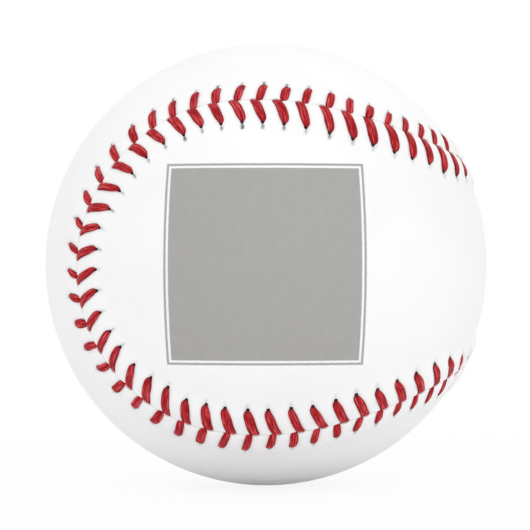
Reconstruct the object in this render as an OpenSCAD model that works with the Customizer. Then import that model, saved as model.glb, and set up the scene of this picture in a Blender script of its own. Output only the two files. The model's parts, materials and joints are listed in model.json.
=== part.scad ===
// Baseball with a cushioned cork centre, four windings, a two-panel cowhide cover and a
// double stitched seam. Millimetres, +Z up, origin at the centre of the ball.
// +X passes through the neck of the front and back panel, -Y through its front lobe.

/* [Ball] */
// Diameter over the smooth leather, away from the seam
ball_d = 74; // [70:0.1:80]
// Thickness of the cowhide
leather_t = 1.27; // [1.1:0.01:1.6]

/* [Centre] */
// Diameter of the cork core
cork_d = 20.6; // [16:0.1:26]
// Wall of the two black rubber half shells
black_t = 3.97; // [2.5:0.01:5]
// Thickness of the red rubber washer between the half shells
washer_t = 1; // [0.5:0.1:2]
// Wall of the red rubber layer that seals the centre
red_t = 2.4; // [1.5:0.1:4]

/* [Windings] */
// Depth of the white wool winding
white_wool_t = 1.77; // [1:0.01:3]
// Depth of the outer grey wool winding
grey_wool_t = 2.25; // [1:0.01:4]
// Depth of the thin finishing yarn under the cover
finish_t = 0.35; // [0.2:0.01:0.8]

/* [Panels] */
// Width of a panel across its neck, from seam to seam over the surface
neck_w = 31.7; // [27:0.1:36]
// How strongly the two lobes of a panel swell beside its neck
lobe_swell = 0.457; // [0.4:0.001:0.5]
// Gap between the two panels along the seam
seam_gap = 0.4; // [0.3:0.01:0.6]

/* [Welt] */
// Height that the stitches pull the leather up beside the seam
welt_h = 0.47; // [0.2:0.01:0.8]
// Height of the leather's rolled edge at the seam
edge_h = 0.12; // [0:0.01:0.3]
// Width of the rolled edge
edge_w = 1.2; // [0.6:0.1:2]
// Distance from the seam to where the welt starts to fall
crest_w = 3; // [2:0.1:3.6]
// Distance from the seam to where the welt has run out
welt_w = 5.9; // [5.6:0.1:7]

/* [Stitches] */
// Number of double stitches round the seam
stitches = 108; // [104:4:112]
// Distance from the seam to each row of needle holes
reach = 4.7; // [4.2:0.1:4.9]
// Diameter of a needle hole
hole_d = 1.2; // [1.1:0.05:1.4]
// Distance along the seam from a stitch to its needle hole
lag = 1.3; // [0.8:0.1:1.8]
// Distance along the seam between the two legs of a stitch
stagger = 0.9; // [0.85:0.01:1.1]
// Where the first stitch sits, as a share of the stitch spacing
phase_share = 0.75; // [0:0.05:1]
// Greatest width of a stitch leg
leg_w = 1.4; // [1:0.1:1.8]
// Width of the thread where it dives through a hole or the seam
dive_w = 0.76; // [0.6:0.01:0.8]
// Height of a stitch leg
leg_h = 0.46; // [0.3:0.01:0.6]
// Thickness of the thread squeezed in the seam
squeeze_t = 0.24; // [0.15:0.01:0.28]

/* [Hidden] */
// Smoothness of the round faces
$fn = 128;
// Clearance between layers that lie on each other
fit = 0.05;
// Clearance between the thread and the leather
thread_fit = 0.07;
// Height of the hollow under the leather that takes the thread
hollow_h = 0.65;
// Depth to which the welt is rooted in the leather, and its lap behind the hollow
root_h = 0.35;
root_lap = 0.4;
// Overrun of a cutting tool
over = 1;
// How far the cone that cuts out a panel reaches, against the ball's radius
cone_reach = 2.4;
// Stations along the seam for each stitch, and points on which its length is measured
stations_each = 2;
measure_n = 720;

ball_r = ball_d / 2;
// Spheres from the centre outwards, each with its clearance to the next
cork_r = cork_d / 2;
black_in_r = cork_r + fit;
black_r = black_in_r + black_t;
red_in_r = black_r + fit;
red_r = red_in_r + red_t;
// Spheres from the leather inwards
leather_in_r = ball_r - leather_t;
finish_r = leather_in_r - fit;
grey_wool_r = finish_r - finish_t - fit;
white_wool_r = grey_wool_r - grey_wool_t - fit;
inner_wool_r = white_wool_r - white_wool_t - fit;

// Angle at the centre of half the neck, and the swing of the seam to its two ends
neck_half = neck_w / ball_d * 180 / PI;
swing = (1 - lobe_swell) / tan(neck_half);

function unit(v) = v / norm(v);

// The seam as a closed curve in the parameter u, 0 to 360. It is mirror symmetric in Z and
// comes back to itself when X is mirrored and the ball is turned a quarter turn about X.
function seam_raw(u) = [
    -swing * cos(2 * u),
    lobe_swell * cos(3 * u) - cos(u),
    sin(u) + lobe_swell * sin(3 * u)
];
function seam_slope(u) = [
    2 * swing * sin(2 * u),
    sin(u) - 3 * lobe_swell * sin(3 * u),
    cos(u) + 3 * lobe_swell * cos(3 * u)
];

// Distance along the seam against u, measured in small steps
steps = [for (i = [1 : measure_n])
    ball_r * norm(unit(seam_raw(i * 360 / measure_n)) - unit(seam_raw((i - 1) * 360 / measure_n)))];
walked = [for (i = 0, s = 0; i <= measure_n; s = s + (i < measure_n ? steps[i] : 0), i = i + 1)
    [s, i * 360 / measure_n]];
seam_len = walked[measure_n][0];
pitch = seam_len / stitches;

// A point s along the seam, w across it over the surface and h above the smooth leather.
// Positive w is on the front and back panel.
function at(s, w, h) =
    let (u = lookup(s - seam_len * floor(s / seam_len), walked))
    let (out = unit(seam_raw(u)))
    let (slope = seam_slope(u))
    let (along = unit(slope - (slope * out) * out))
    let (side = cross(along, out))
    let (turn = w / ball_r * 180 / PI)
    (ball_r + h) * (cos(turn) * out + sin(turn) * side);

// Levels under the cover: the roof of the thread's hollow and the thread's own middle
roof_h = hollow_h - leather_t;
under_h = roof_h - thread_fit - leg_h / 2;
hollow_w = reach + hole_d * 3 / 4;
toe_w = crest_w + (welt_w - crest_w) * (welt_h + root_h) / welt_h;
edge = seam_gap / 2;

// Height of the leather at a distance w from the seam, as far as the welt goes
function skin_h(w) = lookup(w, [
    [edge, edge_h], [edge_w, welt_h], [crest_w, welt_h], [toe_w, -root_h]
]);

// Section of the welt, along its underside to the seam and back over its top
welt_section = [
    [hollow_w + root_lap, roof_h], [toe_w, -root_h], [crest_w, welt_h], [edge_w, welt_h],
    [edge, edge_h], [edge, roof_h]
];

// One closed skin over rings of points that follow each other round a loop
module closed_sweep(rings) {
    n = len(rings);
    m = len(rings[0]);
    polyhedron(
        points = [for (ring = rings) each ring],
        faces = [for (i = [0 : n - 1], j = [0 : m - 1])
            let (a = i * m + j, b = i * m + (j + 1) % m)
            let (c = ((i + 1) % n) * m + (j + 1) % m, d = ((i + 1) % n) * m + j)
            each [[a, b, c], [a, c, d]]]
    );
}

// Everything on one panel's side of a line that runs at the distance w from the seam,
// as a cone from the centre. Its lid is laddered between the mirrored halves of the line.
module panel_cone(w) {
    n = stitches;
    half = n / 2;
    rim = [for (i = [0 : n - 1]) cone_reach * at(i * seam_len / n, w, 0)];
    polyhedron(
        points = concat([[0, 0, 0]], rim),
        faces = [
            for (i = [0 : n - 1]) [0, 1 + (i + 1) % n, 1 + i],
            for (i = [0 : half - 1])
                let (a = 1 + i, b = 2 + i, c = 1 + (n - i) % n, d = n - i)
                each concat(a == c ? [] : [[a, b, c]], b == d ? [] : [[b, d, c]])
        ]
    );
}

module shell(outer_r, inner_r) {
    difference() {
        sphere(r = outer_r);
        sphere(r = inner_r);
    }
}

module half_shell(outer_r, inner_r, floor_h) {
    intersection() {
        shell(outer_r, inner_r);
        translate([-outer_r, -outer_r, floor_h]) cube([2 * outer_r, 2 * outer_r, outer_r]);
    }
}

// Places its children at a point on the ball, with +Z pointing outwards
module outwards(p) {
    rotate([0, acos(p.z / norm(p)), atan2(p.y, p.x)]) children();
}

module needle_holes() {
    for (k = [0 : stitches - 1])
        outwards(at((k + phase_share) * pitch + lag, reach, 0))
            translate([0, 0, leather_in_r - over]) cylinder(d = hole_d, h = leather_t + 2 * over);
}

// A figure of eight of cowhide, with its stitched welt and its row of needle holes
module cover_panel() {
    difference() {
        union() {
            intersection() {
                shell(ball_r, leather_in_r);
                panel_cone(hollow_w);
            }
            closed_sweep([for (i = [0 : stations_each * stitches - 1])
                [for (p = welt_section) at(i * pitch / stations_each, p.x, p.y)]]);
        }
        needle_holes();
    }
}

// One ring of the thread, across the seam at s: its two flanks at [w, h], and a point on its
// back and on its belly. On the other panel, back and belly change places, because the
// thread lies there the other way up.
function thread_ring(s, side, width, flank, back, belly) =
    let (
        left = at(s + width / 2, side * flank.x, flank.y),
        right = at(s - width / 2, side * flank.x, flank.y),
        a = at(s, side * back.x, back.y),
        b = at(s, side * belly.x, belly.y)
    )
    side > 0 ? [left, a, right, b] : [left, b, right, a];

// One leg: out of its hole, over the welt, down through the seam, and under the other panel
// to the hole before it there
function leg(s, side) =
    let (
        hole_s = s + lag,
        seam_s = side > 0 ? s : s + stagger,
        next_s = hole_s - pitch,
        mid_w = (edge_w + crest_w) / 2,
        crest_h = welt_h + thread_fit,
        mouth_h = skin_h(reach) + thread_fit,
        half_h = leg_h / 2,
        low_h = leg_h / 4,
        bend_h = leg_h * 3 / 8,
        half_t = squeeze_t / 2
    )
    [
        thread_ring(hole_s, side, dive_w, [reach, mouth_h + half_h],
            [reach + half_h, mouth_h + half_h + low_h], [reach - half_h, mouth_h + bend_h]),
        thread_ring((hole_s + seam_s) / 2, side, leg_w, [mid_w, crest_h + low_h],
            [mid_w, crest_h + leg_h], [mid_w, crest_h]),
        thread_ring(seam_s, side, dive_w, [0, welt_h + low_h],
            [-half_t, welt_h + half_h], [half_t, welt_h]),
        thread_ring(seam_s, side, dive_w, [0, under_h + low_h],
            [-half_t, under_h + half_h], [half_t, under_h - low_h]),
        thread_ring(next_s, side, dive_w, [-reach, under_h],
            [half_h - reach, under_h + half_h], [-half_h - reach, under_h - low_h])
    ];

// One of the two threads, which takes every second leg on either side of the seam
module thread(first) {
    closed_sweep([for (j = [0 : stitches - 1])
        each leg((phase_share - j) * pitch, (j + first) % 2 == 0 ? 1 : -1)]);
}

module cork_core() {
    color("#b98b5a") sphere(r = cork_r);
}

module black_rubber_upper() {
    color("#222222") half_shell(black_r, black_in_r, washer_t / 2);
}

module black_rubber_lower() {
    color("#222222") mirror([0, 0, 1]) half_shell(black_r, black_in_r, washer_t / 2);
}

module red_rubber_washer() {
    color("#a8342b") translate([0, 0, -washer_t / 2])
        difference() {
            cylinder(r = black_r, h = washer_t);
            translate([0, 0, -over]) cylinder(r = black_in_r, h = washer_t + 2 * over);
        }
}

module red_rubber_layer() {
    color("#b03a30") shell(red_r, red_in_r);
}

module grey_wool_inner() {
    color("#8c8a86") shell(inner_wool_r, red_r + fit);
}

module white_wool() {
    color("#e8e4da") shell(white_wool_r, inner_wool_r + fit);
}

module grey_wool_outer() {
    color("#9a9893") shell(grey_wool_r, white_wool_r + fit);
}

module finishing_yarn() {
    color("#efece4") shell(finish_r, grey_wool_r + fit);
}

module cover_front_back() {
    color("#f4f3f0") cover_panel();
}

module cover_top_bottom() {
    color("#f4f3f0") rotate([90, 0, 0]) mirror([1, 0, 0]) cover_panel();
}

module thread_first() {
    color("#c02a38") thread(0);
}

module thread_second() {
    color("#c02a38") thread(1);
}

cork_core();
black_rubber_upper();
black_rubber_lower();
red_rubber_washer();
red_rubber_layer();
grey_wool_inner();
white_wool();
grey_wool_outer();
finishing_yarn();
cover_front_back();
cover_top_bottom();
thread_first();
thread_second();
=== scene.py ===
"""Baseball: two leather panels, the two threads of the double stitched seam, and the CAD
centre and windings under them, in metres, in the row frame of the part."""

import json
import math

import bpy
import numpy as np
from mathutils import Matrix, Vector
from mathutils.geometry import delaunay_2d_cdt


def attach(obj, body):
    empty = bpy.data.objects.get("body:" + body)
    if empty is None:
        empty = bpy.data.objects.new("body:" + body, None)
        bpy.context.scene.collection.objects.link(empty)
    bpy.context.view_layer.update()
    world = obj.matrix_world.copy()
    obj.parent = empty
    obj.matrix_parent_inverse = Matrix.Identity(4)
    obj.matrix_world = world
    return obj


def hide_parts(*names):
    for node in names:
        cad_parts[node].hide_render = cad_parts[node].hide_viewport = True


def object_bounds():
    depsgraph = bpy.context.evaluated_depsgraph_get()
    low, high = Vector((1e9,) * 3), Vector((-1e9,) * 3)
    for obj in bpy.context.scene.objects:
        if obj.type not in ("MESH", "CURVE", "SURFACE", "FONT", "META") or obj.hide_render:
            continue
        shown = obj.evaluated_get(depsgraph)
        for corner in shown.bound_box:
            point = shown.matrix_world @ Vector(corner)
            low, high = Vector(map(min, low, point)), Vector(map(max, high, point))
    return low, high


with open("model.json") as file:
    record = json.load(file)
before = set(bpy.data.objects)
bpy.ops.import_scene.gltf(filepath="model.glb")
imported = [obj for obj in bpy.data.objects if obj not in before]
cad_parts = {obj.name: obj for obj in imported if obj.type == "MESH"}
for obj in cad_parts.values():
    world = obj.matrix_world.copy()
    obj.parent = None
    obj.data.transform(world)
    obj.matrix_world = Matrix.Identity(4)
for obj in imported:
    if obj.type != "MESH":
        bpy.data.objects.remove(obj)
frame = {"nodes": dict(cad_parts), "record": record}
cad_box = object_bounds()

MM = 0.001
TAU = 2 * math.pi

# The ball and its seam, as in part.scad, in millimetres
BALL_R = 37.0
LEATHER_T = 1.27
NECK_W = 31.7
LOBE_SWELL = 0.457
STITCHES = 108
PHASE_SHARE = 0.75
# Height of the roof of the hollow under the leather, and of the thread that lies in it
ROOF_H = -0.62
UNDER_H = -0.92

# The leather beside the seam: distance of a panel's edge from it, how much more that is at a
# stitch, height of the edge, width of its roll, and height and end of the crest
EDGE_W = 0.05
OPEN_W = 0.16
EDGE_H = 0.3
ROLL_W = 0.8
CREST_H = 0.66
CREST_W = 2.5
# How deep a stitch pulls the seam, how wide, and how far ahead of the stitch's foot
PULL_H = 0.26
PULL_W = 1.1
PULL_AHEAD = 0.1
# Where the gap between the panels opens for a stitch's threads and closes again, past the stitch
OPEN_FROM = (-0.75, -0.4)
OPEN_TO = (1.15, 1.5)
# The bed of a leg: its flank beside the leg's middle, its end at the needle hole, and its start
# at the seam
BED_FLANK = (0.62, 1.2)
BED_END = (-0.5, 0.3)
BED_START = (0.1, 0.5)
# The dimple round a needle hole
DIMPLE_H = 0.16
DIMPLE_R = 0.65
# The small folds that run out from a needle hole like rays
RAYS = 7
RAY_TURN = 2.1
RAY_H = 0.022
RAY_R = 1.05
RAY_W = 0.40
# The crease past a needle hole: its depth, its place beside the hole, and where it starts, which
# moves out with its strength
FOLD_H = 0.12
FOLD_SIDE = 0.05
FOLD_START = 0.14
FOLD_SHIFT = 0.08
FOLD_SOFT = 0.16
# Painted shade on the leather at a needle hole, how far it reaches, and painted shade in the crease
HOLE_SHADE = 0.35
HOLE_SHADE_R = 0.30
FOLD_SHADE = {1: 1.2, -1: 0.9}

SWING = (1 - LOBE_SWELL) / math.tan(NECK_W / (2 * BALL_R))
# Points on which the seam's length is measured
MEASURE_N = 7200


# The seam

def unit(v):
    return v / np.linalg.norm(v, axis=-1, keepdims=True)


def seam_raw(u):
    return np.stack([
        -SWING * np.cos(2 * u),
        LOBE_SWELL * np.cos(3 * u) - np.cos(u),
        np.sin(u) + LOBE_SWELL * np.sin(3 * u),
    ], axis=-1)


def seam_slope(u):
    return np.stack([
        2 * SWING * np.sin(2 * u),
        np.sin(u) - 3 * LOBE_SWELL * np.sin(3 * u),
        np.cos(u) + 3 * LOBE_SWELL * np.cos(3 * u),
    ], axis=-1)


walk_u = np.linspace(0, TAU, MEASURE_N + 1)
walk_p = BALL_R * unit(seam_raw(walk_u))
walk_s = np.concatenate([[0], np.cumsum(np.linalg.norm(np.diff(walk_p, axis=0), axis=1))])
SEAM_LEN = walk_s[-1]
PITCH = SEAM_LEN / STITCHES

# Hand sewing isn't even. These give places along the seam and a value at each. First, how far
# the seam leaves its formula, towards the front and back panel
SWAY = ((-125, 0), (-92, -0.8), (-78, -0.4), (-64, -0.1), (-48, -0.25), (-32, -0.55), (-18, -0.1),
        (0, 0.35), (14, 0.5), (22, 0.25), (30, -0.55), (36, -0.5), (44, -0.05), (64, 0.3), (78, 0.15),
        (90, -0.5), (125, 0))
# How far the stitches run ahead of even spacing
WANDER = ((-125, -0.9), (-100, -2.4), (-86, -2.6), (-76, -1.2), (-66, -0.85), (-53, -1.4), (-38, -1.5),
          (-20, -1.75), (-8, -1.35), (6, -0.4), (24, 1.6), (32, 1.45), (46, 0.35), (66, 0.4),
          (78, 0.7), (82, 1.3), (86, 2.8), (91, 3.1), (100, 2.6), (150, 0))
# Distance from the seam to the needle holes of each panel
REACH = {
    1: ((-120, 4.9), (-92, 2.8), (-85, 2.9), (-79, 4.9), (-74, 4.75), (-62, 5.05), (-45, 5.3),
        (-26, 5.2), (-10, 4.6), (0, 4.85), (16, 4.75), (25, 4.2), (31, 4.6), (42, 4.6), (56, 5.2),
        (66, 5.15), (80, 4.75), (87, 3.3), (94, 2.9), (120, 4.9)),
    -1: ((-120, 3.7), (-88, 2.4), (-78, 3.4), (-69, 2.3), (-58, 3.0), (-50, 3.55), (-36, 4.15),
         (-20, 3.75), (-9, 3.1), (-2, 2.2), (8, 2.4), (20, 4.0), (34, 3.5), (56, 3.45), (65, 2.6),
         (76, 3.6), (83, 3.9), (92, 2.6), (120, 3.7)),
}
# Stitches whose needle holes lie visibly further out or in than their neighbours'
OWN_REACH = {
    1: ((-64, -0.3), (-53, -0.2), (-31, -0.3), (-28, 0.3), (-21, -0.2), (-9, -0.3), (3, -0.2), (7, -0.5),
        (31, 0.2), (35, -0.2), (74, -0.3), (78, 0.1)),
    -1: ((-70, -0.2), (-46, -0.4), (-42, 0.2), (-24, -0.6), (-16, -0.4), (4, 0.2), (8, -0.3), (31, -0.2),
         (38, -0.2), (49, -0.4), (77, -0.2)),
}
# How far a needle hole lies past the place where the photo's usual stitch has it
LEAN = {
    1: ((-120, 0), (-76, 0.45), (-60, 0.15), (-30, -0.1), (-22, 0.05), (-5, 0.5), (14, 0.6),
        (26, 0.1), (60, -0.1), (68, -0.3), (78, -1.1), (88, -2.0), (120, 0)),
    -1: ((-120, 0), (-72, -0.3), (-55, 0), (60, 0.1), (72, 0.35), (120, 0)),
}
# How far the legs on the top and bottom panel lie ahead of those on the other one
SLIP = ((-120, 0), (-72, 0.4), (-56, 0.4), (-48, 0.1), (-36, 0.1), (-18, 0.5), (10, 0.4), (22, 0.1),
        (33, -0.25), (48, 0.25), (58, 0), (66, -0.8), (72, -1.0), (80, -1.15), (120, 0))
# How deep the legs lie between the puffs of leather
BED = {
    1: ((-125, 0.15), (-94, 0.6), (-84, 0.5), (-79, 0.15), (80, 0.1), (86, 0.2), (90, 0.6), (125, 0.15)),
    -1: ((-125, 0.15), (-92, 0.8), (-84, 0.7), (-79, 0.15), (82, 0.1), (86, 0.7), (92, 0.8), (125, 0.15)),
}
# How square the tips of the top and bottom panel's legs are
SQUARE = ((-125, 0), (-64, 0), (-58, 1), (-22, 1), (-9, 0.5), (-3, 0), (8, 0), (16, 1), (64, 1), (74, 0),
          (125, 0))
# How strong the creases past the tips are
CREASE = {
    1: ((-125, 0.25), (-26, 0.25), (-14, 0.5), (8, 0.8), (18, 1.7), (46, 2.0), (56, 0.8), (66, 0.4),
        (125, 0.25)),
    -1: ((-125, 0.5), (-30, 0.5), (8, 0.8), (18, 1.6), (46, 1.6), (56, 0.7), (125, 0.5)),
}
# Where each panel's rise beside the seam ends
TOE = {
    1: ((-125, 7.0), (-92, 5.2), (-84, 5.2), (-72, 7.0), (72, 7.0), (84, 5.2), (92, 5.2), (125, 7.0)),
    -1: ((0, 7.0),),
}
# Distance over which the tables are smoothed
BLUR_S = 1.5


def along_seam(knots, s):
    """Value at s of one of the tables above, smoothed."""
    places, values = np.array(knots, float).T
    s = np.mod(np.asarray(s) + SEAM_LEN / 2, SEAM_LEN) - SEAM_LEN / 2
    near = [np.interp(s + BLUR_S * a, places, values, period=SEAM_LEN) for a in range(-2, 3)]
    return sum(near) / len(near)


def at(s, w, h):
    """Points s along the seam, w across it over the surface and h above the smooth leather."""
    s, w, h = np.broadcast_arrays(s, w, h)
    u = np.interp(np.mod(s, SEAM_LEN), walk_s, walk_u)
    out = unit(seam_raw(u))
    slope = seam_slope(u)
    along = unit(slope - np.sum(slope * out, axis=-1, keepdims=True) * out)
    side = np.cross(along, out)
    turn = ((w + along_seam(SWAY, s)) / BALL_R)[..., None]
    return (BALL_R + h)[..., None] * (np.cos(turn) * out + np.sin(turn) * side)


# The stitches

# Spread of the needle holes and feet along the seam, of the legs' bow and of their girth
HOLE_SPREAD = 0.14
FOOT_SPREAD = 0.12
BOW_SPREAD = 0.10
GIRTH_SPREAD = 0.06
# Usual bow of the legs on each panel, and the range of the creases' strength, which also scales the
# painted shade of the legs' tips
BOW_MEAN = {1: 0.12, -1: 0.0}
PUCKER_RANGE = (0.3, 1.0)
rng = np.random.default_rng(7)
HOLE_JITTER = {side: rng.normal(0, HOLE_SPREAD, STITCHES) for side in (1, -1)}
FOOT_JITTER = {side: rng.normal(0, FOOT_SPREAD, STITCHES) for side in (1, -1)}
BOW = {side: rng.normal(BOW_MEAN[side], BOW_SPREAD, STITCHES) for side in (1, -1)}
GIRTH = {side: rng.normal(1, GIRTH_SPREAD, STITCHES) for side in (1, -1)}
PUCKER = {side: rng.uniform(*PUCKER_RANGE, STITCHES) for side in (1, -1)}
# How far past its stitch a leg's foot lies along the seam, and how much further where its tip is
# square
FOOT = {1: -0.03, -1: 0.42}
SQUARE_FOOT = 0.30
# How far past its stitch a needle hole usually lies
HOLE = {1: 1.2, -1: 1.15}
# Width and end of the crease past a needle hole
FOLD_W = {1: 0.26, -1: 0.22}
FOLD_END = {1: (1.0, 1.55), -1: (0.80, 1.20)}


def stitch_s(x):
    """Place along the seam of stitch x, which may lie between two stitches."""
    even = (np.asarray(x) + PHASE_SHARE) * PITCH
    return even + along_seam(WANDER, even)


def slip_at(x, side):
    return 0 if side > 0 else along_seam(SLIP, stitch_s(x))


def hole_past(x, side):
    """How far past its stitch x a needle hole lies along the seam, but for the jitter."""
    return HOLE[side] + along_seam(LEAN[side], stitch_s(x)) + slip_at(x, side)


# Points in each stitch, and stitches beyond both ends, where places are turned into counts
COUNT_EACH = 20
COUNT_LAP = 2
count_n = COUNT_EACH * (STITCHES + 2 * COUNT_LAP)
count_x = np.linspace(-COUNT_LAP, STITCHES + COUNT_LAP, count_n + 1)
count_s = stitch_s(count_x)
every = np.arange(STITCHES)
reach_k = {side: along_seam(REACH[side], stitch_s(every)) for side in (1, -1)}
for side in (1, -1):
    for place, more in OWN_REACH[side]:
        off = np.mod(stitch_s(every) - place + SEAM_LEN / 2, SEAM_LEN) - SEAM_LEN / 2
        reach_k[side][np.argmin(abs(off))] += more
hole_k = {side: hole_past(every, side) + HOLE_JITTER[side] for side in (1, -1)}
slip_k = {1: np.zeros(STITCHES), -1: slip_at(every, -1)}
square_k = along_seam(SQUARE, stitch_s(every))
foot_k = {1: np.full(STITCHES, FOOT[1]), -1: FOOT[-1] + slip_k[-1] + SQUARE_FOOT * square_k}


def reach_at(x, side):
    """Distance from the seam to the needle hole of stitch x, which may lie between two stitches."""
    return np.interp(x, every, reach_k[side], period=STITCHES)


def leg_s(k, side, w):
    """How far past its stitch k the middle of a leg lies along the seam, at w from it."""
    t = np.clip(w / reach_k[side][k], 0, 1)
    foot = foot_k[side][k] + FOOT_JITTER[side][k]
    return foot + (hole_k[side][k] - foot) * t + BOW[side][k] * np.sin(math.pi * t)


def smooth(lo, hi, x):
    t = np.clip((x - lo) / (hi - lo), 0, 1)
    return t * t * (3 - 2 * t)


def profile(w, toe):
    """Height of the leather beside the seam without its stitches."""
    rolled = np.sqrt(np.clip(1 - ((ROLL_W - w) / (ROLL_W - EDGE_W)) ** 2, 0, 1))
    rise = EDGE_H + (CREST_H - EDGE_H) * np.where(w < ROLL_W, rolled, 1)
    fall = 0.5 + 0.5 * np.cos(math.pi * np.clip((w - CREST_W) / (toe - CREST_W), 0, 1))
    return rise * fall


def near_stitches(s):
    """Each point's own stitch and its two neighbours, with the distances past them."""
    start = float(stitch_s(0))
    s = start + np.mod(s - start, SEAM_LEN)
    k = np.floor(np.interp(s, count_s, count_x)).astype(int)
    for step in (-1, 0, 1):
        yield (k + step) % STITCHES, s - stitch_s(k + step)


def edge_w(s):
    """Distance of a panel's edge from the seam, wider where the threads pass between."""
    wide = np.zeros_like(s)
    for _, past in near_stitches(s):
        wide = np.maximum(wide, smooth(*OPEN_FROM, past) * (1 - smooth(*OPEN_TO, past)))
    return EDGE_W + OPEN_W * wide


def skin(s, w, side):
    """Height of the leather, and the shade painted on it at needle holes and in creases, with the pull of
    the stitches.
    """
    s, w = np.broadcast_arrays(s, w)
    h = profile(w, along_seam(TOE[side], s))
    deep = along_seam(BED[side], s)
    crease = along_seam(CREASE[side], s)
    dark = np.zeros_like(h)
    for k, past in near_stitches(s):
        reach = reach_k[side][k]
        across = past - leg_s(k, side, w)
        end = smooth(reach + BED_END[0], reach + BED_END[1], w)
        bed = (1 - smooth(*BED_FLANK, abs(across))) * (1 - end)
        h = h - deep * bed * smooth(*BED_START, w)
        foot = past - foot_k[side][k]
        h = h - PULL_H * np.exp(-(foot - PULL_AHEAD) ** 2) * np.exp(-(w / PULL_W) ** 2)
        hole_s = past - hole_k[side][k]
        behind_w = w - reach
        far = np.hypot(hole_s, behind_w)
        h = h - DIMPLE_H * np.exp(-(far / DIMPLE_R) ** 2)
        ray = np.cos(RAYS * np.arctan2(behind_w, hole_s) + RAY_TURN * k)
        h = h + RAY_H * ray * np.exp(-((far - RAY_R) / RAY_W) ** 2)
        fold = PUCKER[side][k] * crease * np.exp(-((hole_s - FOLD_SIDE) / FOLD_W[side]) ** 2)
        start = FOLD_START + FOLD_SHIFT * crease
        fold = fold * smooth(start, start + FOLD_SOFT, behind_w)
        fold = fold * (1 - smooth(*FOLD_END[side], behind_w))
        h = h - FOLD_H * fold
        # The shade of the needle hole and of the crease past it is painted into the leather's colour
        dark = dark + HOLE_SHADE * np.exp(-(far / HOLE_SHADE_R) ** 2) + FOLD_SHADE[side] * fold
    return h, np.clip(dark, 0, 1)


# Meshes

def add_mesh(name, verts, faces, marks):
    """A smooth mesh object, from points in millimetres, with a value per point for each mark."""
    mesh = bpy.data.meshes.new(name)
    mesh.from_pydata((np.asarray(verts) * MM).tolist(), [], faces)
    for mark, values in marks.items():
        layer = mesh.attributes.new(mark, "FLOAT", "POINT")
        layer.data.foreach_set("value", np.asarray(values, np.float32))
    mesh.validate()
    mesh.update()
    obj = bpy.data.objects.new(name, mesh)
    bpy.context.scene.collection.objects.link(obj)
    mesh.shade_smooth()
    return obj


# The leather panels

# Grid steps from the middle of a needle hole to its edge, and to the edge of the block round it
HOLE_HALF = 2
BLOCK_HALF = 3
# Stations of the band's grid, for each stitch and in all
EACH = 12
STATIONS = STITCHES * EACH
# Rows of the grid: over the rolled edge, up to the needle holes, round them, and past them
ROLL_SHARES = (0, 0.02, 0.08, 0.20, 0.40, 0.68, 1)
SLOPE_ROWS = 6
BLOCK_GAP = 0.3
BEHIND_W = (1.25, 1.65, 2.1, 2.65, 3.25, 3.95)
ROLL_ROWS = len(ROLL_SHARES)
HOLE_ROW = ROLL_ROWS + SLOPE_ROWS + BLOCK_HALF
FIRST_BLOCK = HOLE_ROW - BLOCK_HALF
LAST_BLOCK = HOLE_ROW + BLOCK_HALF
# Rows under which the leather has the roof of its hollow, and the shade painted there
ROOF_ROWS = [0, ROLL_ROWS - 1] + list(range(FIRST_BLOCK, LAST_BLOCK + 1))
ROOF_SHADE = 0.3
# Radius of a needle hole, its shift away from the seam, and how far the ring round it follows it
HOLE_R = 0.34
HOLE_SHIFT = 0.05
RING_PULL = 0.35
# Distance between the points that fill a panel, on its outside and inside, the share of it that
# they keep from the rim, and the degrees north and east up to which they are laid
FILL_GAP = 1.25
INSIDE_GAP = 3 * FILL_GAP
CLEAR_SHARE = 0.7
FILL_LAT = 70.0
FILL_LON = 150.0
# Precision of the fill, and the least angle of an edge that isn't shaded smooth
FILL_PRECISION = 1e-7
SHARP_DEG = 50


def round_hole(ds, dw, radius):
    """Moves a block of grid offsets so that its outline becomes a circle."""
    size = np.maximum(abs(ds), abs(dw))
    length = np.hypot(ds, dw)
    scale = radius * size / np.where(length > 0, length, 1)
    return ds * scale, dw * scale


def grid_places(side):
    """Places of the band's grid along and across the seam, with the needle holes made round."""
    i = np.arange(STATIONS)
    along = stitch_s(i / EACH) + hole_past(i / EACH, side)
    reach = reach_at(i / EACH, side)[:, None]
    edge = edge_w(along)[:, None]
    roll = edge + (ROLL_W - edge) * np.array(ROLL_SHARES)
    block = reach + BLOCK_GAP * np.arange(-BLOCK_HALF, BLOCK_HALF + 1)
    slope = ROLL_W + (block[:, :1] - ROLL_W) * np.arange(1, SLOPE_ROWS + 1) / (SLOPE_ROWS + 1)
    w = np.hstack([roll, slope, block, reach + np.array(BEHIND_W)])
    s = np.repeat(along[:, None], w.shape[1], axis=1)
    near = (i + BLOCK_HALF) % EACH - BLOCK_HALF
    stitch = (i + BLOCK_HALF) // EACH
    owner = stitch % STITCHES
    rows = np.abs(near) <= BLOCK_HALF
    hole_s = stitch_s(stitch)[rows] + hole_k[side][owner[rows]]
    hole_w = reach_k[side][owner[rows]] + HOLE_SHIFT
    for j in range(FIRST_BLOCK, LAST_BLOCK + 1):
        ds = near[rows]
        dw = np.full(ds.shape, j - HOLE_ROW)
        ring = np.maximum(abs(ds), abs(dw))
        outer = ring == BLOCK_HALF
        ps, pw = round_hole(ds, dw, np.where(outer, BLOCK_GAP, HOLE_R / HOLE_HALF))
        blend = np.where(outer, RING_PULL, 1.0)
        s[rows, j] += blend * (hole_s + ps - s[rows, j])
        w[rows, j] += blend * (hole_w + pw - w[rows, j])
    return s, w


def to_home(p, side):
    """Points of a panel as if it were the front and back one."""
    if side > 0:
        return p
    return np.stack([-p[..., 0], p[..., 2], -p[..., 1]], axis=-1)


def from_home(p, side):
    if side > 0:
        return p
    return np.stack([-p[..., 0], -p[..., 2], p[..., 1]], axis=-1)


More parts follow.
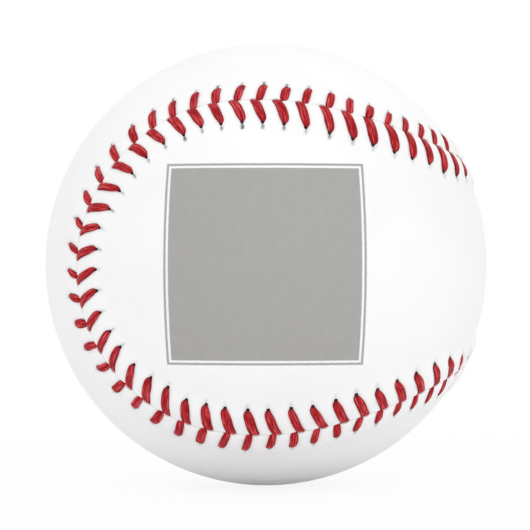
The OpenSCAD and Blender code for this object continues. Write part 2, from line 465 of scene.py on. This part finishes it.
def chart(p, side):
    """Flat map of the front and back panel: longitude shrunk with latitude, in degrees."""
    q = unit(to_home(p, side))
    lat = np.degrees(np.arcsin(q[..., 2]))
    lon = np.degrees(np.arctan2(q[..., 1], q[..., 0]))
    return np.stack([lon * np.cos(np.radians(lat)), lat], axis=-1)


def from_chart(c, side):
    lat = np.radians(c[..., 1])
    lon = np.radians(c[..., 0]) / np.cos(lat)
    q = np.stack([np.cos(lat) * np.cos(lon), np.cos(lat) * np.sin(lon), np.sin(lat)], axis=-1)
    return from_home(q, side)


def nearest(points, rim):
    """Distance from each unit vector to the closest one of the rim."""
    return np.array([np.min(np.linalg.norm(rim - p, axis=1)) for p in points])


def winding(points, loop):
    """Whether each flat point lies inside the closed loop."""
    x, y = points[:, 0][:, None], points[:, 1][:, None]
    ax, ay = loop[:, 0][None, :], loop[:, 1][None, :]
    bx, by = np.roll(ax, -1, axis=1), np.roll(ay, -1, axis=1)
    cuts = ((ay > y) != (by > y)) & (x < (bx - ax) * (y - ay) / (by - ay + 1e-12) + ax)
    return cuts.sum(axis=1) % 2 == 1


def filled(rim, gap, height, side):
    """Points and triangles that fill a panel inside the rim of the grid."""
    flat = chart(rim, side)
    step = math.degrees(gap / BALL_R)
    row_step = step * math.sqrt(3) / 2
    lattice = []
    for row in range(int(2 * FILL_LAT / row_step)):
        lat = row * row_step - FILL_LAT
        reach = FILL_LON * math.cos(math.radians(lat))
        across = np.arange(-reach, reach, step) + (step / 2 if row % 2 else 0)
        lattice.append(np.stack([across, np.full(across.shape, lat)], axis=1))
    lattice = np.vstack(lattice)
    clear = nearest(from_chart(lattice, side), unit(rim)) * BALL_R > CLEAR_SHARE * gap
    extra = lattice[winding(lattice, flat) & clear]
    coords = [Vector(p) for p in np.vstack([flat, extra])]
    n = len(rim)
    edges = [(a, (a + 1) % n) for a in range(n)]
    keep_inside = 1
    verts, _, faces, origins, _, _ = delaunay_2d_cdt(coords, edges, [], keep_inside, FILL_PRECISION)
    if len(verts) != len(coords):
        raise RuntimeError("the fill of a panel has crossing edges")
    order = [o[0] for o in origins]
    faces = [[order[a] for a in face] for face in faces]
    return from_chart(extra, side) * (BALL_R + height), faces


def oriented(tris, ids, turn):
    """Triangles of a fill, in the mesh's own point numbers."""
    return [[ids[a] for a in (tri if turn > 0 else tri[::-1])] for tri in tris]


def panel(name, side):
    s, w = grid_places(side)
    height, dark = skin(s, w, side)
    top = at(s, side * w, height)
    rows = w.shape[1]
    roof = at(s[:, ROOF_ROWS], side * w[:, ROOF_ROWS], ROOF_H)
    n_roof = len(ROOF_ROWS)
    step_low = at(s[:, LAST_BLOCK], side * w[:, LAST_BLOCK], -LEATHER_T)

    # Each point's painted shade: at needle holes and in creases on the face, and in the hollow under the
    # leather
    verts = [top.reshape(-1, 3), roof.reshape(-1, 3), step_low]
    marks = [dark.reshape(-1), np.ones(STATIONS * n_roof) * ROOF_SHADE, np.zeros(STATIONS)]
    base_roof = STATIONS * rows
    base_low = base_roof + STATIONS * n_roof

    def t(i, j):
        return (i % STATIONS) * rows + j

    def r(i, j):
        return base_roof + (i % STATIONS) * n_roof + j

    def hole(i, row):
        near = (i + HOLE_HALF) % EACH
        return near < 2 * HOLE_HALF and -HOLE_HALF <= row - HOLE_ROW < HOLE_HALF

    faces = []
    for i in range(STATIONS):
        for j in range(rows - 1):
            if not hole(i, j):
                faces.append([t(i, j), t(i + 1, j), t(i + 1, j + 1), t(i, j + 1)])
        for j in range(n_roof - 1):
            if not hole(i, ROOF_ROWS[j]) or ROOF_ROWS[j] == 0:
                faces.append([r(i, j + 1), r(i + 1, j + 1), r(i + 1, j), r(i, j)])
        faces.append([r(i, 0), r(i + 1, 0), t(i + 1, 0), t(i, 0)])
        last = n_roof - 1
        faces.append([base_low + i, base_low + (i + 1) % STATIONS, r(i + 1, last), r(i, last)])

    # The walls of the needle holes, from the leather's face to the roof of the hollow
    low_row = HOLE_ROW - HOLE_HALF
    first = ROOF_ROWS.index(low_row)
    span = 2 * HOLE_HALF
    loop = [(a, 0) for a in range(span)] + [(span, a) for a in range(span)]
    loop += [(span - a, span) for a in range(span)] + [(0, span - a) for a in range(span)]
    for k in range(STITCHES):
        start = k * EACH - HOLE_HALF
        for (i0, j0), (i1, j1) in zip(loop, loop[1:] + loop[:1]):
            faces.append([
                t(start + i0, low_row + j0), t(start + i1, low_row + j1),
                r(start + i1, first + j1), r(start + i0, first + j0),
            ])
    if side > 0:
        faces = [face[::-1] for face in faces]

    extra, tris = filled(top[:, -1], FILL_GAP, 0.0, side)
    base = base_low + STATIONS
    ids = [t(i, rows - 1) for i in range(STATIONS)] + [base + a for a in range(len(extra))]
    faces += oriented(tris, ids, side)
    verts.append(extra)
    marks.append(np.zeros(len(extra)))
    base += len(extra)

    extra, tris = filled(step_low, INSIDE_GAP, -LEATHER_T, side)
    ids = [base_low + i for i in range(STATIONS)] + [base + a for a in range(len(extra))]
    faces += oriented(tris, ids, -side)
    verts.append(extra)
    marks.append(np.zeros(len(extra)))

    verts = np.vstack(verts)
    obj = add_mesh(name, verts, faces, {"painted_shade": np.concatenate(marks)})
    obj.data.set_sharp_from_angle(angle=math.radians(SHARP_DEG))
    return obj


# The threads

# Points round the thread, and samples for each control row
RING_N = 12
ROW_PARTS = 2
# The thread's section: how square it is in width and thickness, and the fold along its middle
SECTION_POWERS = (0.9, 0.75)
MIDDLE_FOLD = 0.22
MIDDLE_W = 0.25
# How deep a leg lies in the leather that carries it
SINK = 0.02
# One leg, from below its own panel over the leather to the bottom of the gap. Each row gives
# a distance from the seam, the half width on the front and back panel and on the other one, the
# half thickness and the height. In UNDER a distance below 0 counts back from the needle hole,
# in RISE it counts from the hole, and in LEG it is the share of the way from hole to seam. There
# the leather carries the leg, the last two values move its middle along the seam, and
# SQUARE_TIP gives the other panel's half width where its tips are square
UNDER = ((0.95, 0.38, 0.38, 0.19, UNDER_H), (2.9, 0.38, 0.38, 0.20, UNDER_H),
         (-0.45, 0.37, 0.37, 0.20, UNDER_H + 0.02))
RISE = ((0.0, 0.30, 0.30, 0.18, UNDER_H + 0.14), (0.08, 0.26, 0.28, 0.17, -0.45),
        (0.07, 0.24, 0.26, 0.17, -0.10), (0.02, 0.26, 0.28, 0.16, 0.08))
LEG = ((0.04, 0.44, 0.24, 0.16, 0.12, 0.10), (0.12, 0.67, 0.36, 0.18, 0.12, 0.10),
       (0.23, 0.77, 0.48, 0.19, 0.05, 0.06), (0.37, 0.79, 0.59, 0.19, 0.0, 0.0),
       (0.52, 0.78, 0.64, 0.19, 0.0, 0.0), (0.67, 0.78, 0.64, 0.19, 0.0, 0.0),
       (0.80, 0.78, 0.60, 0.19, -0.03, -0.02), (0.90, 0.80, 0.56, 0.18, -0.06, -0.06))
SQUARE_TIP = (0.46, 0.58, 0.63, 0.65, 0.65, 0.65, 0.64, 0.61)
FOOT_ROWS = ((0.16, 0.78, 0.50, 0.16, 0.34), (0.02, 0.62, 0.38, 0.14, 0.06),
             (0.0, 0.44, 0.36, 0.13, -0.40), (-0.04, 0.38, 0.36, 0.15, UNDER_H + 0.12))
# How far past its stitch each panel's leg dives through the seam, and how near to the seam it
# has left its own line
DIVE = {1: -0.1, -1: 0.62}
DIVE_W = 0.1
# Distance from the needle hole over which the shade painted on a leg's tip fades
TIP_SHADE = (-0.1, 0.4)


def leg_points(j, first):
    """Control rows of one leg: s, w, height, half width, half thickness, painted shade."""
    side = 1 if (j + first) % 2 == 0 else -1
    k = (-j) % STITCHES
    turns = SEAM_LEN * ((-j) // STITCHES)
    s0 = float(stitch_s(k)) + turns
    before = (k + 1) % STITCHES
    came = float(stitch_s(before)) + slip_k[-side][before] + SEAM_LEN * ((1 - j) // STITCHES)
    came += DIVE[-side]
    hole_s = s0 + hole_k[side][k]
    reach = reach_k[side][k]
    pick = 0 if side > 0 else 1
    girth = GIRTH[side][k]
    square = 0 if side > 0 else square_k[k]
    rows = []
    for w, *half, half_t, h in UNDER:
        w = w if w > 0 else reach + w
        rows.append((came + (hole_s - came) * smooth(0, reach, w), side * w, h, half[pick], half_t, 1))
    for behind, *half, half_t, h in RISE:
        rows.append((hole_s, side * (reach + behind), h, half[pick], half_t, 1))
    for (share, half_a, half_b, half_t, move_a, move_b), half_square in zip(LEG, SQUARE_TIP):
        half_b += square * (half_square - half_b)
        w = reach * (1 - share)
        s = s0 + float(leg_s(k, side, w)) + (move_a, move_b)[pick]
        low = float(skin(np.array(s), np.array(w), side)[0])
        shade = float(PUCKER[side][k] * (1 - smooth(*TIP_SHADE, share * reach)))
        rows.append((s, side * w, low + half_t - SINK, girth * (half_a, half_b)[pick], half_t, shade))
    for w, *half, half_t, h in FOOT_ROWS:
        s = s0 + float(leg_s(k, side, w) if w > DIVE_W else DIVE[side] + slip_k[side][k])
        rows.append((s, side * w, h, half[pick], half_t, 0))
    return rows


def spline(rows, parts, lap):
    """Even samples of a closed cubic B-spline through the loop of control rows."""
    rows = np.array(rows)
    n = len(rows)
    t = np.arange(parts) / parts
    weights = np.stack([
        (1 - t) ** 3, 3 * t ** 3 - 6 * t ** 2 + 4, -3 * t ** 3 + 3 * t ** 2 + 3 * t + 1, t ** 3,
    ], axis=1) / 6
    around = np.vstack([rows[-1:] + lap, rows, rows[:2] - lap])
    out = [weights @ around[a:a + 4] for a in range(n)]
    return np.vstack(out)


def thread(name, first):
    rows = []
    for j in range(STITCHES):
        rows += leg_points(j, first)
    lap = np.array([SEAM_LEN, 0, 0, 0, 0, 0])
    path = spline(rows, ROW_PARTS, lap)
    ahead = np.vstack([path[1:], path[:1] - lap])
    behind = np.vstack([path[-1:] + lap, path[:-1]])
    slope = ahead[:, 1:3] - behind[:, 1:3]
    slope /= np.linalg.norm(slope, axis=1, keepdims=True)
    angle = np.arange(RING_N) * TAU / RING_N
    cos, sin = np.cos(angle), np.sin(angle)
    x = np.sign(cos) * np.abs(cos) ** SECTION_POWERS[0]
    y = np.sign(sin) * np.abs(sin) ** SECTION_POWERS[1]
    y *= 1 - MIDDLE_FOLD * np.exp(-(cos / MIDDLE_W) ** 2)
    s = path[:, 0:1] + path[:, 3:4] * x[None, :]
    w = path[:, 1:2] + path[:, 4:5] * y[None, :] * slope[:, 1:2]
    h = path[:, 2:3] - path[:, 4:5] * y[None, :] * slope[:, 0:1]
    verts = at(s, w, h).reshape(-1, 3)
    n = len(path)
    faces = []
    for i in range(n):
        for m in range(RING_N):
            a, b = i * RING_N + m, i * RING_N + (m + 1) % RING_N
            c, d = ((i + 1) % n) * RING_N + (m + 1) % RING_N, ((i + 1) % n) * RING_N + m
            faces.append([d, c, b, a])
    centre = at(path[:, 0], path[:, 1], path[:, 2])
    run = np.cumsum(np.linalg.norm(np.diff(centre, axis=0, prepend=centre[:1]), axis=1))
    marks = {
        "along": np.repeat(run, RING_N),
        "across": np.tile(x, n),
        "painted_tip_shade": np.repeat(path[:, 5], RING_N),
    }
    return add_mesh(name, verts, faces, marks)


# Materials

def nodes_of(name):
    material = bpy.data.materials.new(name)
    material.use_nodes = True
    tree = material.node_tree
    return material, tree, tree.nodes["Principled BSDF"]


def node(tree, kind, **values):
    made = tree.nodes.new("ShaderNode" + kind)
    for key, value in values.items():
        if key in made.inputs:
            made.inputs[key].default_value = value
        else:
            setattr(made, key, value)
    return made


def math_node(tree, operation, a, b=None):
    made = tree.nodes.new("ShaderNodeMath")
    made.operation = operation
    for slot, value in enumerate((a, b)):
        if value is None:
            continue
        if isinstance(value, (int, float)):
            made.inputs[slot].default_value = value
        else:
            tree.links.new(value, made.inputs[slot])
    return made.outputs[0]


def mix_colour(tree, factor, a, b, blend="MIX"):
    made = tree.nodes.new("ShaderNodeMix")
    made.data_type = "RGBA"
    made.blend_type = blend
    pairs = ((made.inputs[0], factor), (made.inputs[6], a), (made.inputs[7], b))
    for socket, value in pairs:
        if isinstance(value, (int, float, tuple)):
            socket.default_value = value
        else:
            tree.links.new(value, socket)
    return made.outputs[2]


def noise(tree, coords, scale, detail, rough):
    made = node(tree, "TexNoise", Scale=scale, Detail=detail, Roughness=rough)
    tree.links.new(coords, made.inputs["Vector"])
    return made.outputs["Fac"]


def ramp(tree, value, lo, hi):
    made = node(tree, "MapRange")
    made.clamp = True
    tree.links.new(value, made.inputs["Value"])
    made.inputs["From Min"].default_value = lo
    made.inputs["From Max"].default_value = hi
    return made.outputs["Result"]


def bump(tree, shader, height, strength, distance, under=None):
    made = node(tree, "Bump", Strength=strength, Distance=distance)
    tree.links.new(height, made.inputs["Height"])
    if under is not None:
        tree.links.new(under, made.inputs["Normal"])
    if shader is not None:
        tree.links.new(made.outputs["Normal"], shader.inputs["Normal"])
    return made.outputs["Normal"]


def grey(value):
    return (value, value, value, 1.0)


# The camera looks along -BACK at the ball's front
BACK = Vector((-0.1745, -0.9846, 0.0129)).normalized()
UP = Vector((0.0181, 0.0098, 0.9998))
RIGHT = UP.cross(BACK).normalized()
UP = BACK.cross(RIGHT).normalized()

# The thin line round the print, in millimetres: half its width and height, its thickness, the
# gap inside it, how far its upright sides bow out, and how far its middle lies off the ball's
LINE_HALF = (15.52, 15.92)
LINE_W = 0.36
LINE_GAP = 0.36
PRINT_BULGE = 0.5
PRINT_SHIFT = (-0.17, 0.06)
# How soft the edges of the print are, and how ragged the grain makes them
PRINT_SOFT = 0.06
PRINT_RAGGED = 0.12
PRINT_INK = (0.404, 0.398, 0.389, 1)
PRINT_WORN = (0.380, 0.375, 0.367, 1)

HIDE_LIGHT = grey(0.965)
HIDE_SOFT = grey(0.940)
HIDE_WORN = grey(0.875)
# Colour of the shade painted at needle holes, in creases and in the hollow under the leather
HIDE_SHADE = grey(0.06)
HIDE_ROUGH = 0.55
HIDE_SHINE = 0.35
# Scale, detail and roughness of the noises in the leather and the ink
GRAIN = (1500.0, 4.0, 0.6)
CLOUD = (55.0, 3.0, 0.55)
SMUDGE = (26.0, 2.0, 0.5)
INK_WEAR = (700.0, 4.0, 0.6)
PORE_SCALE = 1300.0
# Values of those noises between which one tone turns into the next
SOFT_RANGE = (0.35, 0.7)
WORN_RANGE = (0.52, 0.8)
INK_RANGE = (0.3, 0.75)
# Strongest wear, and how the grain breaks the painted shade up: its share, its base and the painted
# shade's limit
WORN_MOST = 0.6
SHADE_GRAIN = 0.9
SHADE_BASE = 0.5
SHADE_MOST = 0.92
# Strength and depth in metres of the bumps
GRAIN_BUMP = (0.25, 0.00006)
CLOUD_BUMP = (0.3, 0.0004)


def leather_material(name, printed):
    material, tree, shader = nodes_of(name)
    coords = node(tree, "TexCoord").outputs["Object"]
    painted_shade = node(tree, "Attribute", attribute_name="painted_shade").outputs["Fac"]
    grain = noise(tree, coords, *GRAIN)
    pores = node(tree, "TexVoronoi", Scale=PORE_SCALE, feature="F1")
    tree.links.new(coords, pores.inputs["Vector"])
    cloud = noise(tree, coords, *CLOUD)
    smudge = noise(tree, coords, *SMUDGE)
    base = mix_colour(tree, ramp(tree, cloud, *SOFT_RANGE), HIDE_LIGHT, HIDE_SOFT)
    worn = math_node(tree, "MULTIPLY", ramp(tree, smudge, *WORN_RANGE), WORN_MOST)
    base = mix_colour(tree, worn, base, HIDE_WORN)
    if printed:
        base = print_on(tree, coords, base, grain)
    # Shade painted at needle holes, in creases and under the leather, broken up by the grain
    broken = math_node(tree, "ADD", math_node(tree, "MULTIPLY", grain, SHADE_GRAIN), SHADE_BASE)
    shade_share = math_node(tree, "MINIMUM", math_node(tree, "MULTIPLY", painted_shade, broken), SHADE_MOST)
    base = mix_colour(tree, shade_share, base, HIDE_SHADE)
    tree.links.new(base, shader.inputs["Base Color"])
    shader.inputs["Roughness"].default_value = HIDE_ROUGH
    shader.inputs["Specular IOR Level"].default_value = HIDE_SHINE
    under = bump(tree, None, math_node(tree, "ADD", grain, pores.outputs["Distance"]), *GRAIN_BUMP)
    bump(tree, shader, cloud, *CLOUD_BUMP, under)
    return material


def print_on(tree, coords, base, grain):
    """A plain grey square in a thin line, as flat ink on the front of the ball."""
    def along(axis):
        made = node(tree, "VectorMath", operation="DOT_PRODUCT")
        tree.links.new(coords, made.inputs[0])
        made.inputs[1].default_value = tuple(axis / MM)
        return made.outputs["Value"]

    def band(lo, hi, value):
        rise = ramp(tree, value, lo - PRINT_SOFT, lo + PRINT_SOFT)
        fall = ramp(tree, value, hi + PRINT_SOFT, hi - PRINT_SOFT)
        return math_node(tree, "MULTIPLY", rise, fall)

    ragged = math_node(tree, "MULTIPLY", math_node(tree, "SUBTRACT", grain, 0.5), PRINT_RAGGED)
    x = math_node(tree, "ABSOLUTE", math_node(tree, "SUBTRACT", along(RIGHT), PRINT_SHIFT[0]))
    y = math_node(tree, "ABSOLUTE", math_node(tree, "SUBTRACT", along(UP), PRINT_SHIFT[1]))
    share = math_node(tree, "DIVIDE", y, LINE_HALF[1])
    square = math_node(tree, "MULTIPLY", share, share)
    bulge = math_node(tree, "MULTIPLY", math_node(tree, "SUBTRACT", 1.0, square), PRINT_BULGE)
    x = math_node(tree, "SUBTRACT", math_node(tree, "SUBTRACT", x, bulge), LINE_HALF[0])
    y = math_node(tree, "SUBTRACT", y, LINE_HALF[1])
    past = math_node(tree, "ADD", math_node(tree, "MAXIMUM", x, y), ragged)
    ink = math_node(tree, "ADD", band(-2 * LINE_HALF[1], -LINE_W - LINE_GAP, past),
                    band(-LINE_W, 0.0, past))
    front = ramp(tree, along(BACK), 0.0, 1.0)
    ink = math_node(tree, "MULTIPLY", ink, front)
    worn = noise(tree, coords, *INK_WEAR)
    tone = mix_colour(tree, ramp(tree, worn, *INK_RANGE), PRINT_INK, PRINT_WORN)
    return mix_colour(tree, ink, base, tone)


# Colours of the thread: in its dark streaks and in the shade painted in its middle fold, on its body,
# in its painted highlights, and of the shade painted at its rims and at its tips
RED_DEEP = (0.282, 0.003, 0.007, 1)
RED_BODY = (0.512, 0.011, 0.020, 1)
RED_HIGHLIGHT = (0.94, 0.150, 0.165, 1)
RED_RIM_SHADE = (0.12, 0.002, 0.004, 1)
RED_TIP_SHADE = (0.016, 0.003, 0.004, 1)
# Scale across and along the thread, and detail, of its noises
FIBRES = (14.0, 1.6, 4.0)
STREAKS = (3.0, 0.32, 2.0)
DRIFT = (0.0, 0.30, 1.0)
STRAND_ROUGH = 0.6
# Values of the noises between which dark streaks turn into body, and body into painted highlights
BODY_RANGE = (0.34, 0.66)
HIGHLIGHT_RANGE = (0.49, 0.66)
FIBRE_RANGE = (0.3, 0.6)
# The painted shade in the fold along the middle: how far it drifts, its half widths and its strength
FOLD_DRIFT = 1.6
FOLD_RANGE = (0.16, 0.02)
FOLD_SHADE_MOST = 0.6
# The painted shade at the rims, as shares of the half width, its strength, and that of the painted shade
# at the tips
RIM_SHADE_RANGE = (0.7, 1.0)
RIM_SHADE_MOST = 0.52
TIP_SHADE_MOST = 0.95
WAX_ROUGH = 0.55
WAX_SHINE = 0.12
FIBRE_BUMP = (0.5, 0.00009)


def thread_material(name):
    """Flat waxed thread: long streaks with painted highlights, and shade painted into a fold along its
    middle and at its rims and tips.
    """
    material, tree, shader = nodes_of(name)
    along = node(tree, "Attribute", attribute_name="along").outputs["Fac"]
    across = node(tree, "Attribute", attribute_name="across").outputs["Fac"]
    painted_tip_shade = node(tree, "Attribute", attribute_name="painted_tip_shade").outputs["Fac"]

    def strands(wide, long, detail):
        place = node(tree, "CombineXYZ")
        tree.links.new(math_node(tree, "MULTIPLY", across, wide), place.inputs["X"])
        tree.links.new(math_node(tree, "MULTIPLY", along, long), place.inputs["Y"])
        return noise(tree, place.outputs[0], 1.0, detail, STRAND_ROUGH)

    fibres = strands(*FIBRES)
    streaks = strands(*STREAKS)
    drift = strands(*DRIFT)
    base = mix_colour(tree, ramp(tree, streaks, *BODY_RANGE), RED_DEEP, RED_BODY)
    # Painted highlights along the light streaks, broken up by the fibres
    light = ramp(tree, streaks, *HIGHLIGHT_RANGE)
    highlight = math_node(tree, "MULTIPLY", light, ramp(tree, fibres, *FIBRE_RANGE))
    base = mix_colour(tree, highlight, base, RED_HIGHLIGHT)
    # Shade painted into the fold along the thread's middle
    off = math_node(tree, "MULTIPLY", math_node(tree, "SUBTRACT", drift, 0.5), FOLD_DRIFT)
    middle = math_node(tree, "ABSOLUTE", math_node(tree, "SUBTRACT", across, off))
    fold = math_node(tree, "MULTIPLY", ramp(tree, middle, *FOLD_RANGE), FOLD_SHADE_MOST)
    base = mix_colour(tree, fold, base, RED_DEEP)
    # Shade painted on the thread's rims, where it turns away from the light
    outward = math_node(tree, "ABSOLUTE", across)
    rim = math_node(tree, "MULTIPLY", ramp(tree, outward, *RIM_SHADE_RANGE), RIM_SHADE_MOST)
    base = mix_colour(tree, rim, base, RED_RIM_SHADE)
    # Shade painted on the thread where it dives into a needle hole and runs under the leather
    base = mix_colour(tree, math_node(tree, "MULTIPLY", painted_tip_shade, TIP_SHADE_MOST), base, RED_TIP_SHADE)
    tree.links.new(base, shader.inputs["Base Color"])
    shader.inputs["Roughness"].default_value = WAX_ROUGH
    shader.inputs["Specular IOR Level"].default_value = WAX_SHINE
    bump(tree, shader, fibres, *FIBRE_BUMP)
    return material


# Detail and roughness of the inner pieces' speckle, the values between which its tones change,
# and the strength of its bump
SPECKLE = (4.0, 0.6)
SPECKLE_RANGE = (0.35, 0.65)
SPECKLE_BUMP = 0.5


def plain_material(name, light, dark, scale, rough, stretch, depth):
    """Cork, rubber or wool: a speckle of two tones, with grain or strands as bump."""
    material, tree, shader = nodes_of(name)
    coords = node(tree, "TexCoord").outputs["Object"]
    pull = node(tree, "Mapping")
    pull.inputs["Scale"].default_value = stretch
    tree.links.new(coords, pull.inputs["Vector"])
    speckle = noise(tree, pull.outputs[0], scale, *SPECKLE)
    base = mix_colour(tree, ramp(tree, speckle, *SPECKLE_RANGE), light, dark)
    tree.links.new(base, shader.inputs["Base Color"])
    shader.inputs["Roughness"].default_value = rough
    bump(tree, shader, speckle, SPECKLE_BUMP, depth)
    return material


# The model

threads = thread_material("stitch_thread_red")
for name, first in (("stitching_first", 0), ("stitching_second", 1)):
    obj = thread(name, first)
    obj.data.materials.append(threads)
    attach(obj, "root")
    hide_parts("thread_first" if first == 0 else "thread_second")

for name, side, cad, printed in (
    ("leather_front_back", 1, "cover_front_back", True),
    ("leather_top_bottom", -1, "cover_top_bottom", False),
):
    obj = panel(name, side)
    obj.data.materials.append(leather_material(name + "_hide", printed))
    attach(obj, "root")
    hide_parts(cad)

# Stretch of the speckle where a material is even, and where it is wound yarn
EVEN = (1.0, 1.0, 1.0)
WOUND = (1.0, 0.35, 5.0)
# Light tone, dark tone, scale, roughness, stretch and depth of each inner material
INNER = {
    "cork": ((0.47, 0.27, 0.12, 1), (0.22, 0.11, 0.05, 1), 900.0, 0.85, EVEN, 0.0002),
    "black_rubber": (grey(0.022), grey(0.012), 400.0, 0.6, EVEN, 0.00005),
    "red_rubber": ((0.42, 0.05, 0.035, 1), (0.34, 0.035, 0.026, 1), 350.0, 0.55, EVEN, 0.00005),
    "grey_wool": (grey(0.30), grey(0.16), 500.0, 0.95, WOUND, 0.0004),
    "white_wool": ((0.80, 0.77, 0.70, 1), (0.62, 0.59, 0.52, 1), 500.0, 0.95, WOUND, 0.0004),
    "finishing_yarn": ((0.84, 0.81, 0.74, 1), (0.70, 0.66, 0.58, 1), 800.0, 0.9, WOUND, 0.0003),
}
inner = {slot: plain_material(slot + "_look", *values) for slot, values in INNER.items()}
slots = {p["node"]: p["material_slot"] for p in frame["record"]["subparts"]}
for cad, obj in frame["nodes"].items():
    if slots[cad] in inner:
        obj.data.materials.clear()
        obj.data.materials.append(inner[slots[cad]])

# The studio

scene = bpy.context.scene
scene.view_settings.view_transform = "Standard"

# The camera's distance from the ball in metres and its sensor in millimetres. The picture's
# width, the focal length and the place of the ball's centre in the picture are in pixels
CAMERA_D = 0.520
SENSOR = 36.0
FRAME_PX = 530
FOCAL_PX = 3092.0
BALL_PX = (266.1, 264.7)
CLIP = (0.01, 50.0)

camera_data = bpy.data.cameras.new("camera")
camera_data.sensor_width = SENSOR
camera_data.lens = FOCAL_PX / FRAME_PX * SENSOR
camera_data.clip_start, camera_data.clip_end = CLIP
camera_data.shift_x = (FRAME_PX / 2 - BALL_PX[0]) / FRAME_PX
camera_data.shift_y = (BALL_PX[1] - FRAME_PX / 2) / FRAME_PX
camera = bpy.data.objects.new("camera", camera_data)
scene.collection.objects.link(camera)
facing = Matrix((RIGHT, UP, BACK)).transposed().to_4x4()
camera.matrix_world = Matrix.Translation(BACK * CAMERA_D) @ facing
scene.camera = camera


def area(name, place, size, power):
    lamp = bpy.data.lights.new(name, "AREA")
    lamp.shape = "DISK"
    lamp.size = size
    lamp.energy = power
    obj = bpy.data.objects.new(name, lamp)
    scene.collection.objects.link(obj)
    obj.location = place
    obj.rotation_euler = (-Vector(place)).to_track_quat("-Z", "Y").to_euler()


# Place and diameter in metres, and power in watts, of each lamp
LAMPS = {
    "key_light": ((0.4, -1.2, 0.3), 1.0, 1.75),
    "front_light": ((-0.4, -1.3, 0.0), 1.0, 1.75),
}
for name, values in LAMPS.items():
    area(name, *values)


def white_for_camera(tree):
    """1 where a ray comes from the camera, a mirror or glass."""
    path = node(tree, "LightPath")
    seen = math_node(tree, "MAXIMUM", path.outputs["Is Camera Ray"], path.outputs["Is Glossy Ray"])
    return math_node(tree, "MAXIMUM", seen, path.outputs["Is Transmission Ray"])


# The sky is white in the picture, and gives less light near the horizon: its share there, and
# the heights between which it grows to full light
HORIZON = 0.82
SKY_RISE = (0.0, 0.7)
world = bpy.data.worlds.new("studio")
world.use_nodes = True
scene.world = world
tree = world.node_tree
heading = node(tree, "SeparateXYZ")
tree.links.new(node(tree, "TexCoord").outputs["Generated"], heading.inputs[0])
light = math_node(tree, "MULTIPLY", ramp(tree, heading.outputs["Z"], *SKY_RISE), 1 - HORIZON)
light = math_node(tree, "ADD", light, HORIZON)
tree.nodes["Background"].inputs["Color"].default_value = grey(1.0)
tree.links.new(math_node(tree, "MAXIMUM", light, white_for_camera(tree)),
               tree.nodes["Background"].inputs["Strength"])

# The floor keeps the ball's soft shadow near it, and looks as white as the sky further out
FLOOR_R = 6.0
FLOOR_N = 96
FLOOR_DROP = 0.0002
SHADOW_R = (0.03, 0.16)
NEAR_WHITE = 0.88
FLOOR_ROUGH = 0.9
FLOOR_NEAR = grey(0.97)
FLOOR_FAR = grey(0.84)
floor_z = cad_box[0][2] - FLOOR_DROP
turns = [a * TAU / FLOOR_N for a in range(FLOOR_N)]
ring = [(FLOOR_R * math.cos(turn), FLOOR_R * math.sin(turn), floor_z) for turn in turns]
floor_mesh = bpy.data.meshes.new("floor")
floor_mesh.from_pydata(ring, [], [list(range(FLOOR_N))])
floor = bpy.data.objects.new("floor", floor_mesh)
scene.collection.objects.link(floor)
material, tree, shader = nodes_of("floor_white")
shader.inputs["Roughness"].default_value = FLOOR_ROUGH
shader.inputs["Specular IOR Level"].default_value = 0.0
place = node(tree, "TexCoord").outputs["Object"]
from_ball = node(tree, "VectorMath", operation="LENGTH")
tree.links.new(place, from_ball.inputs[0])
far_out = ramp(tree, from_ball.outputs["Value"], *SHADOW_R)
tree.links.new(mix_colour(tree, far_out, FLOOR_NEAR, FLOOR_FAR), shader.inputs["Base Color"])
whiteness = math_node(tree, "ADD", math_node(tree, "MULTIPLY", far_out, 1 - NEAR_WHITE), NEAR_WHITE)
glow = node(tree, "Emission", Strength=1.0)
blend = node(tree, "MixShader")
tree.links.new(math_node(tree, "MULTIPLY", white_for_camera(tree), whiteness), blend.inputs[0])
tree.links.new(shader.outputs[0], blend.inputs[1])
tree.links.new(glow.outputs[0], blend.inputs[2])
tree.links.new(blend.outputs[0], tree.nodes["Material Output"].inputs["Surface"])
floor_mesh.materials.append(material)
